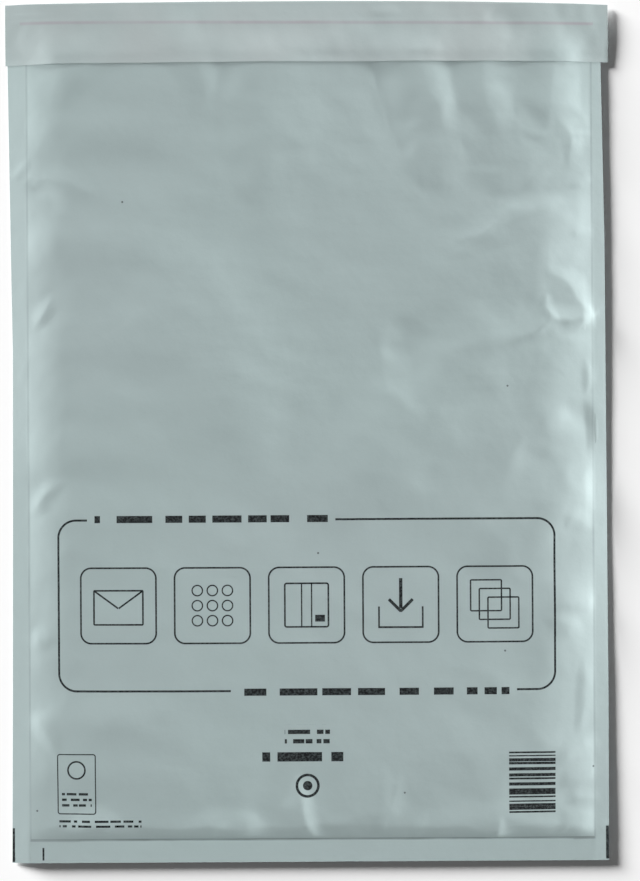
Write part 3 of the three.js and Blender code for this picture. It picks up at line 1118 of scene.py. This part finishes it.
def front_paper():
    """Outer paper with black line print, a few flecks and painted shade along the seams."""
    colours = bpy.context.scene.envelope_colours
    material, tree, shader = new_material("Printed paper")
    place = object_place(tree)
    flat = vector_maths(tree, "MULTIPLY", place, (1 / MM, 1 / MM, 0))
    # Painted shade: the seams are darkened towards the ink colour by a noisy depth, less along the sides
    # than along the bottom.
    side_seam_shade = maths(tree, "MULTIPLY", box_mask(tree, flat, SEAM_SHADE_MARK), 0.45)
    seams = together(tree, [side_seam_shade, box_mask(tree, flat, BOTTOM_SEAM_SHADE_MARK)])
    seam_shade_depth = maths(tree, "MULTIPLY_ADD", noise(tree, place, 50.0, 2.0), 0.5, 0.05)
    paper = paper_tone(tree, place, colours.paper)
    paper = mixed(tree, clamped(tree, "MULTIPLY", seams, seam_shade_depth), paper, (*colours.ink, 1))
    patchy = maths(tree, "MULTIPLY_ADD", noise(tree, place, 900.0, 2.0), 0.5, 0.7)
    inked = clamped(tree, "MULTIPLY", line_print(tree, flat), patchy)
    tree.links.new(maths(tree, "MULTIPLY", inked, 0.85), shader.inputs["Metallic"])
    marked = maths(tree, "MAXIMUM", inked, maths(tree, "MULTIPLY", speck_mask(tree, place), 0.7))
    tree.links.new(mixed(tree, marked, paper, (*colours.ink, 1)), shader.inputs["Base Color"])
    paper_finish(tree, shader, place)
    return material


def rear_paper(size):
    """Outer paper of the rear sheet. On the flap the edge of the pink liner shows through it."""
    colours = bpy.context.scene.envelope_colours
    material, tree, shader = new_material("Rear paper")
    place = object_place(tree)
    parts = add_node(tree, "SeparateXYZ", {0: place}).outputs
    normal = add_node(tree, "NewGeometry").outputs["Normal"]
    facing = add_node(tree, "SeparateXYZ", {0: normal}).outputs["Z"]
    near_flap = maths(tree, "GREATER_THAN", parts["Y"], (size.flap_edge - 4) * MM)
    on_flap = maths(tree, "MULTIPLY", near_flap, maths(tree, "GREATER_THAN", facing, 0.1))
    patches = clamped(tree, "MULTIPLY_ADD", noise(tree, place, 18.0, 1.0), 2.0, -0.35)
    plain_paper = paper_tone(tree, place, colours.paper)
    flap_paper = paper_tone(tree, place, colours.flap_paper)
    paper = mixed(tree, maths(tree, "MULTIPLY", on_flap, patches), plain_paper, flap_paper)
    liner_y = maths(tree, "MULTIPLY_ADD", parts["X"], LINER_SLANT, (size.fold_line - LINER_FROM_FOLD) * MM)
    apart = maths(tree, "ABSOLUTE", maths(tree, "SUBTRACT", parts["Y"], liner_y))
    line = clamped(tree, "MULTIPLY_ADD", apart, -1300.0, 1.45)
    ends = maths(tree, "LESS_THAN", maths(tree, "ABSOLUTE", parts["X"]), LINER_HALF_LENGTH * MM)
    faint = maths(tree, "MULTIPLY_ADD", noise(tree, place, 45.0, 2.0), 0.9, 0.35)
    line_on_flap = maths(tree, "MULTIPLY", line, maths(tree, "MULTIPLY", ends, on_flap))
    shown = clamped(tree, "MULTIPLY", line_on_flap, faint)
    tree.links.new(mixed(tree, shown, paper, (*colours.show_through, 1)), shader.inputs["Base Color"])
    paper_finish(tree, shader, place)
    return material


def tint(tree, shader, share, colour, other_colour):
    """Gives a shader a colour that drifts to another one by a mask."""
    colours = mixed(tree, share, (*colour, 1), (*other_colour, 1))
    tree.links.new(colours, shader.inputs["Base Color"])


def bubble_film():
    """Clear film with a faint grain."""
    material, tree, shader = new_material("Bubble film")
    haze = noise(tree, object_place(tree), 60.0, 2.0)
    tint(tree, shader, haze, bpy.context.scene.envelope_colours.film, (0.66, 0.72, 0.74))
    rough = maths(tree, "MULTIPLY_ADD", haze, 0.12, 0.12)
    tree.links.new(rough, shader.inputs["Roughness"])
    shader.inputs["Alpha"].default_value = 0.6
    return material


def adhesive_film():
    """Tacky strip with small uneven places."""
    material, tree, shader = new_material("Adhesive")
    grain = noise(tree, object_place(tree), 500.0, 3.0)
    tint(tree, shader, grain, bpy.context.scene.envelope_colours.adhesive, (0.72, 0.68, 0.52))
    rough = maths(tree, "MULTIPLY_ADD", grain, 0.3, 0.15)
    tree.links.new(rough, shader.inputs["Roughness"])
    return material


def liner_paper():
    """Coated paper with a faint mottle."""
    material, tree, shader = new_material("Liner paper")
    place = object_place(tree)
    cloud = noise(tree, place, 160.0, 3.0)
    tint(tree, shader, cloud, bpy.context.scene.envelope_colours.liner, (0.73, 0.55, 0.62))
    shader.inputs["Roughness"].default_value = 0.35
    bump_paper(tree, shader, place, fibres=0.5, cockles=0.5)
    return material


# Operators


def front_grid(size):
    """Lines of the front sheet's grid: six in each margin and a denser net between the seams."""
    stops = (size.bottom_seam, 1.5), (-175, 1.3), (20, 1.8), (size.flap_edge, 1.2), (size.mouth, 3)
    share = lines(-1, (-0.7, 0.0065), (0.1, 0.0105), (1, 0.0065))
    y = lines(size.bottom_edge, *stops)[:, None]
    left_edge, right_edge = outline_at(LEFT_EDGE, y), outline_at(RIGHT_EDGE, y)
    left_seam, right_seam = outline_at(LEFT_SEAM, y), outline_at(RIGHT_SEAM, y)
    inner = left_seam + (right_seam - left_seam) * (share + 1) / 2
    margin = np.linspace(0, 1, 7)[:-1]
    left_margin = left_edge + (left_seam - left_edge) * margin
    right_margin = right_seam + (right_edge - right_seam) * (1 - margin[::-1])
    x = np.concatenate([left_margin, inner, right_margin], axis=1)
    return x, np.broadcast_to(y, x.shape)


def front_mesh(size, x, y):
    """Points and quads of the front sheet. Its underside has fewer lines, except near the seams."""
    upper = front_height(size, x, y)
    rows, columns = x.shape
    rim = grid_border(rows, columns)
    top_points = stacked(x, y, upper)
    rim_points = top_points[rim] - (0, 0, size.paper)
    under_rows = thinned(rows, 20, 5)
    under_columns = thinned(columns, 14, 3)
    sparse = np.ix_(under_rows, under_columns)
    risen = body_swell(size, x[sparse], y[sparse], REAR_SHOULDERS)
    under = upper[sparse] - size.paper - UNDERSIDE_GAP - UNDERSIDE_SAG * risen
    under_points = stacked(x[sparse], y[sparse], under)
    rim_start = x.size
    under_start = rim_start + len(rim)
    quads = [
        grid_quads(rows, columns),
        strip_quads(rim, np.arange(len(rim)) + rim_start),
        grid_quads(len(under_rows), len(under_columns), under_start, flipped=True),
    ]
    return np.concatenate([top_points, rim_points, under_points]), np.concatenate(quads)


class EnvelopeFront(bpy.types.Operator):
    """Front sheet, with its glued margins, folds and print"""

    bl_idname = "envelope.front"
    bl_label = "Front sheet"

    def execute(self, context):
        size = measures()
        points, quads = front_mesh(size, *front_grid(size))
        piece = mesh_piece("front_sheet", points, quads, front_paper())
        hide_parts("front_panel")
        return {"FINISHED"}


def rear_grid(size):
    """Places of the rear sheet's grid seen from above, and how far each row has turned at the fold."""
    bend_start = size.fold_line - FOLD_RADIUS
    stops = (size.bottom_seam, 2.4), (-190, 2.4), (190, 4.5), (bend_start, 2.5)
    flat_rows = lines(size.bottom_edge, *stops)
    turns = np.linspace(0, math.pi, 15)[1:]
    flap_rows = lines(bend_start, (size.flap_edge, 1.2))[1:]
    row_y = np.concatenate([flat_rows, np.full(len(turns), bend_start), flap_rows])[:, None]
    turn = np.concatenate([np.zeros(len(flat_rows)), turns, np.full(len(flap_rows), math.pi)])[:, None]
    share = lines(-1, (-0.86, 0.008), (0, 0.012), (0.86, 0.008), (1, 0.008))
    left_edge, right_edge = outline_at(LEFT_EDGE, row_y), outline_at(RIGHT_EDGE, row_y)
    neck = np.where(turn > 0, 1, smoothstep(row_y, size.mouth - 26, size.mouth - 4))
    left_edge = left_edge + (-size.flap_half - left_edge) * neck
    right_edge = right_edge + (size.flap_half - right_edge) * neck
    x = left_edge + (right_edge - left_edge) * (share + 1) / 2
    near_fold = smoothstep(row_y, size.flap_edge, bend_start)
    end_drop = np.where(x < 0, 0.7, 2.4) * (x / size.flap_half) ** 2
    return x, row_y - near_fold * end_drop, turn


class EnvelopeBack(bpy.types.Operator):
    """Rear sheet, in one piece with the flap that is folded over the mouth"""

    bl_idname = "envelope.back"
    bl_label = "Rear sheet and flap"

    def execute(self, context):
        size = measures()
        x, y, turn = rear_grid(size)
        low = back_height(size, x, y)
        high = flap_height(size, x, y) + size.paper
        half = size.paper / 2
        forward = np.sin(turn) ** 0.4
        upward = np.sign(np.cos(turn)) * np.abs(np.cos(turn)) ** 0.4
        middle = low + half + (high - low - size.paper) * (1 - upward) / 2
        inner = x, y + (FOLD_RADIUS - half) * forward, middle + half * upward
        outer = x, y + (FOLD_RADIUS + half) * forward, middle - half * upward
        piece = sheet_mesh("rear_sheet", inner, outer, rear_paper(size))
        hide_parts("back_panel")
        return {"FINISHED"}


def bubble_rise(padding, x, y):
    """Height of the bubbles over their film, from 0 to 1."""
    pitch = padding.bubble_pitch / MM
    row_pitch = pitch * math.sqrt(3) / 2
    row = np.round(y / row_pitch)
    shift = np.where(row % 2 == 0, 0, pitch / 2)
    dx = x - (np.round((x - shift) / pitch) * pitch + shift)
    dy = y - row * row_pitch
    share = np.clip(np.hypot(dx, dy) / (padding.bubble_width / MM / 2), 0, 1)
    return (1 - share**4) ** 0.6


class EnvelopeLinings(bpy.types.Operator):
    """The two linings of bubble film, one on each sheet"""

    bl_idname = "envelope.linings"
    bl_label = "Bubble linings"

    def execute(self, context):
        size = measures()
        padding = context.scene.envelope_padding
        film = bubble_film()
        step = padding.bubble_pitch / MM / 6
        columns = lines(size.lining_low.x, (size.lining_high.x, step))
        rows = lines(size.lining_low.y, (size.lining_high.y, step))
        x, y = np.meshgrid(columns, rows)
        inset = np.minimum(x - size.lining_low.x, size.lining_high.x - x)
        room = smoothstep(np.minimum(inset, y - size.lining_low.y), 0, 14)
        under_front = front_height(size, x, y) - size.paper - BELOW_FRONT
        over_back = back_height(size, x, y) + size.paper + ABOVE_BACK
        gap = np.maximum(under_front - over_back - BETWEEN_LININGS, 0.05)
        tall = np.minimum(padding.bubble_height / MM, gap * 0.4) * room
        bubbles = bubble_rise(padding, x, y) * tall
        film_thickness = np.minimum(0.8, gap * 0.1)
        thickness = film_thickness + bubbles
        front = sheet_mesh("front_bubble_film", (x, y, under_front), (x, y, under_front - thickness), film)
        back = sheet_mesh("back_bubble_film", (x, y, over_back + thickness), (x, y, over_back), film)
        for piece, node in ((front, "front_bubble_lining"), (back, "back_bubble_lining")):
            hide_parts(node)
        return {"FINISHED"}


class EnvelopeStrips(bpy.types.Operator):
    """Adhesive strip on the inner face of the flap, and the release liner over it"""

    bl_idname = "envelope.strips"
    bl_label = "Flap strips"

    def execute(self, context):
        size = measures()
        strips = [
            ("flap_adhesive", "adhesive_strip", "adhesive", adhesive_film(), 0.02, 0.1),
            ("release_liner", "liner_strip", "liner_paper", liner_paper(), 0.14, 0.1),
        ]
        for node, name, slot, material, drop, thickness in strips:
            low, high = (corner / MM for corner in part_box(node))
            x, y = np.meshgrid(lines(low.x, (high.x, 2.5)), lines(low.y, (high.y, 1.6)))
            upper = flap_height(size, x, y) - drop
            piece = sheet_mesh(name, (x, y, upper), (x, y, upper - thickness), material)
            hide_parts(node)
        return {"FINISHED"}


class EnvelopeStageMaker(bpy.types.Operator):
    """Pale floor, soft lamps from three sides, and the camera straight above"""

    bl_idname = "envelope.stage"
    bl_label = "Stage"

    def execute(self, context):
        scene = context.scene
        stage = scene.envelope_stage
        scene.view_settings.view_transform = "Standard"
        floor = make_floor(stage)
        make_lamps(stage, floor)
        make_world()
        make_camera(stage)
        return {"FINISHED"}


def make_floor(stage):
    """A pale floor that the camera sees a little brighter than it is lit."""
    half = 3000
    x, y = np.meshgrid(lines(-half, (half, 1500)), lines(-half, (half, 1500)))
    material, tree, shader = new_material("Floor")
    shader.inputs["Base Color"].default_value = (*stage.floor_colour, 1)
    shader.inputs["Roughness"].default_value = 0.9
    shader.inputs["Specular IOR Level"].default_value = 0.0
    glow = maths(tree, "MULTIPLY", seen_directly(tree), 0.06)
    tree.links.new(glow, shader.inputs["Emission Strength"])
    shader.inputs["Emission Color"].default_value = (1, 1, 1, 1)
    mesh = bpy.data.meshes.new("floor")
    mesh.from_pydata((stacked(x, y, 0.0 * x) * MM).tolist(), [], grid_quads(*x.shape).tolist())
    mesh.materials.append(material)
    floor = bpy.data.objects.new("floor", mesh)
    floor.location.z = -0.00005
    bpy.context.scene.collection.objects.link(floor)
    return floor


def lamp(name, share, azimuth, elevation, breadth, lit):
    """A broad sun that lights one collection. Its strength gives its share of a full white light."""
    sun = bpy.data.lights.new(name, "SUN")
    sun.angle = math.radians(breadth)
    sun.energy = share * math.pi / math.sin(math.radians(elevation))
    piece = bpy.data.objects.new(name, sun)
    piece.rotation_euler = (0, math.radians(90 - elevation), math.radians(azimuth))
    piece.light_linking.receiver_collection = lit
    bpy.context.scene.collection.objects.link(piece)
    return piece


def make_lamps(stage, floor):
    """Low lamps on three sides of the envelope, and one that gives the floor its shadow."""
    only_floor = bpy.data.collections.new("Only the floor")
    only_floor.objects.link(floor)
    all_but_floor = bpy.data.collections.new("All but the floor")
    all_but_floor.objects.link(floor)
    all_but_floor.collection_objects[0].light_linking.link_state = "EXCLUDE"
    rear_sheet = bpy.data.collections.new("Only the rear sheet")
    rear_sheet.objects.link(bpy.data.objects["rear_sheet"])
    low_lamps = [
        lamp("left_lamp", stage.left_share, 180, 8, 20, all_but_floor),
        lamp("right_lamp", stage.right_share, 0, 7, 20, all_but_floor),
        lamp("top_lamp", stage.top_share, 90, 13, 27, all_but_floor),
    ]
    for piece in low_lamps:
        piece.light_linking.blocker_collection = rear_sheet
    lamp("near_lamp", stage.near_share, 270, 20, 30, all_but_floor)
    floor_share = 0.93
    lamp("floor_lamp", floor_share, 146, 15, 26, only_floor)


def make_world():
    """A white room to the camera, and a faint even light to everything else."""
    world = bpy.data.worlds.new("Studio")
    bpy.context.scene.world = world
    world.use_nodes = True
    tree = world.node_tree
    background = tree.nodes["Background"]
    background.inputs["Color"].default_value = (1, 1, 1, 1)
    strength = maths(tree, "MULTIPLY_ADD", seen_directly(tree), 0.95, 0.05)
    tree.links.new(strength, background.inputs["Strength"])


def make_camera(stage):
    """The camera straight above. Its lens follows from the length of floor in the picture."""
    camera = bpy.data.cameras.new("camera")
    camera.sensor_width = 36
    camera.lens = camera.sensor_width * stage.camera_height / stage.picture_height
    camera.clip_start = 0.01
    camera.clip_end = 50
    piece = bpy.data.objects.new("camera", camera)
    piece.location = (*stage.picture_middle, stage.camera_height)
    piece.rotation_euler = (0, 0, stage.camera_roll)
    bpy.context.scene.collection.objects.link(piece)
    bpy.context.scene.camera = piece


class EnvelopePanel(bpy.types.Panel):
    """The envelope's pieces, in the order in which they are made"""

    bl_idname = "VIEW3D_PT_envelope"
    bl_label = "Padded envelope"
    bl_space_type = "VIEW_3D"
    bl_region_type = "UI"
    bl_category = "Envelope"

    def draw(self, context):
        for maker in MAKERS:
            self.layout.operator(maker.bl_idname)


GROUPS = {
    "envelope_shape": EnvelopeShape,
    "envelope_padding": EnvelopePadding,
    "envelope_colours": EnvelopeColours,
    "envelope_stage": EnvelopeStage,
}
MAKERS = (EnvelopeFront, EnvelopeBack, EnvelopeLinings, EnvelopeStrips, EnvelopeStageMaker)


def register():
    for name, group in GROUPS.items():
        bpy.utils.register_class(group)
        setattr(bpy.types.Scene, name, bpy.props.PointerProperty(type=group))
    for maker in (*MAKERS, EnvelopePanel):
        bpy.utils.register_class(maker)


def unregister():
    for maker in reversed((*MAKERS, EnvelopePanel)):
        bpy.utils.unregister_class(maker)
    for name, group in reversed(GROUPS.items()):
        delattr(bpy.types.Scene, name)
        bpy.utils.unregister_class(group)


def main():
    register()
    bpy.ops.envelope.front()
    bpy.ops.envelope.back()
    bpy.ops.envelope.linings()
    bpy.ops.envelope.strips()
    bpy.ops.envelope.stage()


if __name__ == "__main__":
    main()
